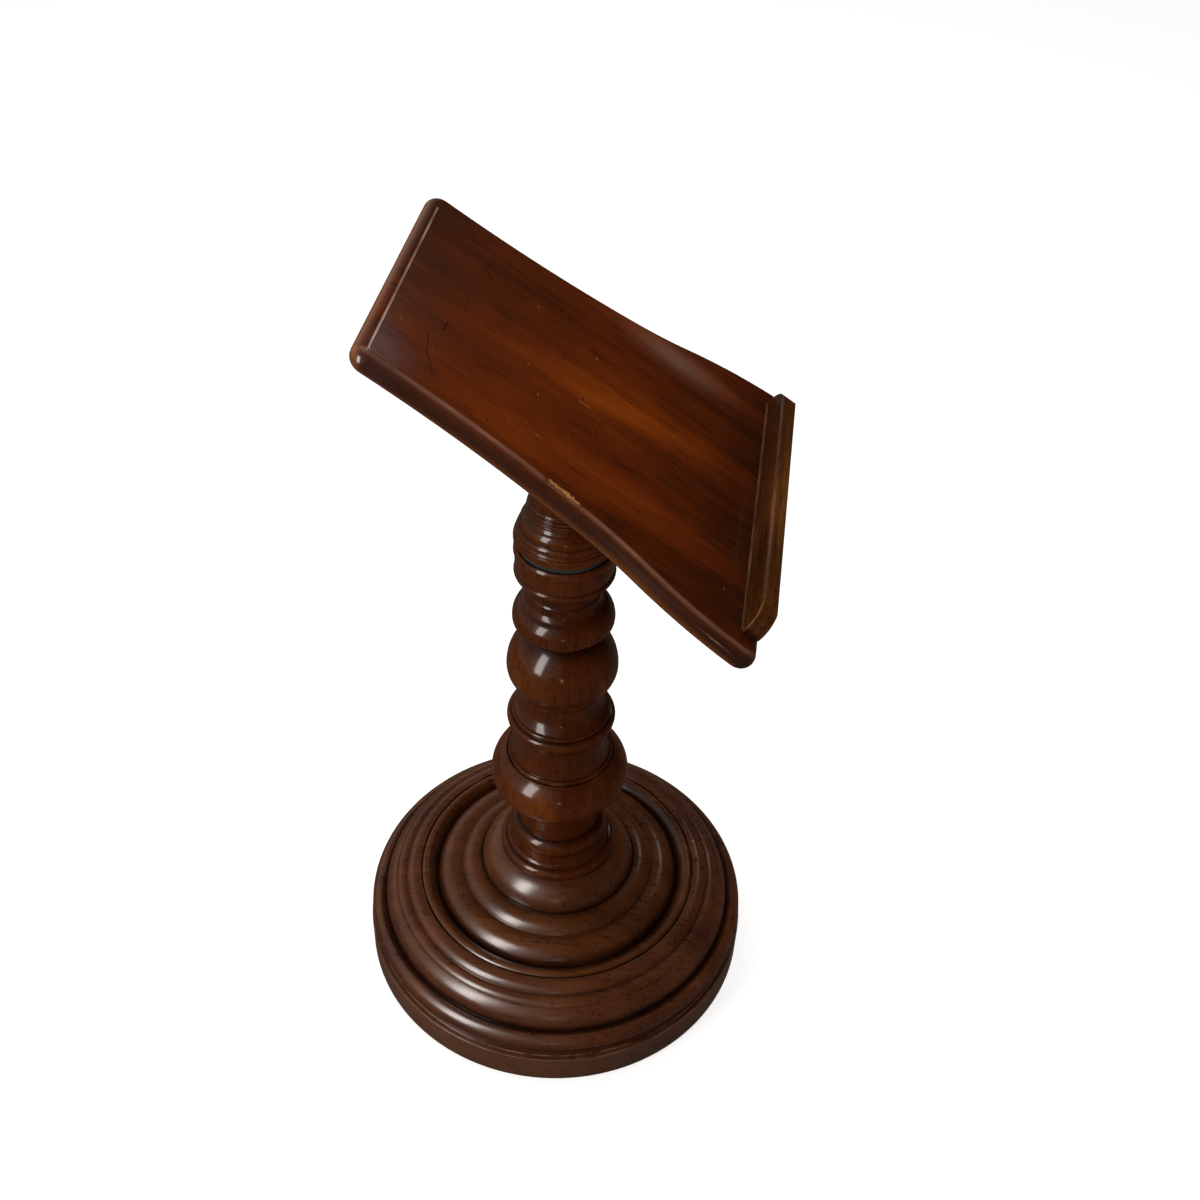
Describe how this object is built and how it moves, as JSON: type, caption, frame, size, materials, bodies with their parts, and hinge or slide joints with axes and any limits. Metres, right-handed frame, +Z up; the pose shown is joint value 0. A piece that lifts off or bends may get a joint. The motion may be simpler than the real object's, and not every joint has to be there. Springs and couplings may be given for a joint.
{
  "type": "pedestal book stand",
  "caption": "Tabletop book stand with a round moulded base, a turned wooden column and a sloping shaped board with a ledge, which turns on top of the column",
  "frame": {"origin": "centre of the underside of the base, on the table", "axes": "+Z up along the column, X along the ledge, the board rises towards +Y and the reader sits on the -Y side"},
  "size_m": [0.22, 0.22, 0.4372],
  "materials": {
    "turned_wood": "dark reddish brown stain under glossy lacquer",
    "board_wood": "amber brown stain under glossy lacquer, worn edges",
    "plain_wood": "unfinished beech",
    "baize": "dark green baize",
    "steel": "plain zinc plated steel",
    "brass": "plain turned brass",
    "leather": "black waxed leather"
  },
  "bodies": {
    "stand": {"felt_pad": "baize", "base_plinth": "turned_wood", "base_moulding": "turned_wood", "base_boss": "turned_wood", "base_screws": "steel", "tie_rod": "steel", "tie_washer": "steel", "tie_nut": "steel", "rod_insert": "brass", "column_foot": "turned_wood", "column_middle": "turned_wood", "column_top": "turned_wood", "swivel_bush": "brass", "swivel_washer": "leather"},
    "head": {"spring_washer": "steel", "swivel_bolt": "steel", "head_insert": "brass", "head": "turned_wood", "head_dowels": "plain_wood", "board": "board_wood", "ledge": "board_wood", "ledge_screws": "steel"}
  },
  "joints": [
    {"name": "swivel", "type": "hinge", "parent": "stand", "child": "head", "pos_m": [0, 0, 0.302], "axis": [0, 0, 1], "continuous": true}
  ]
}
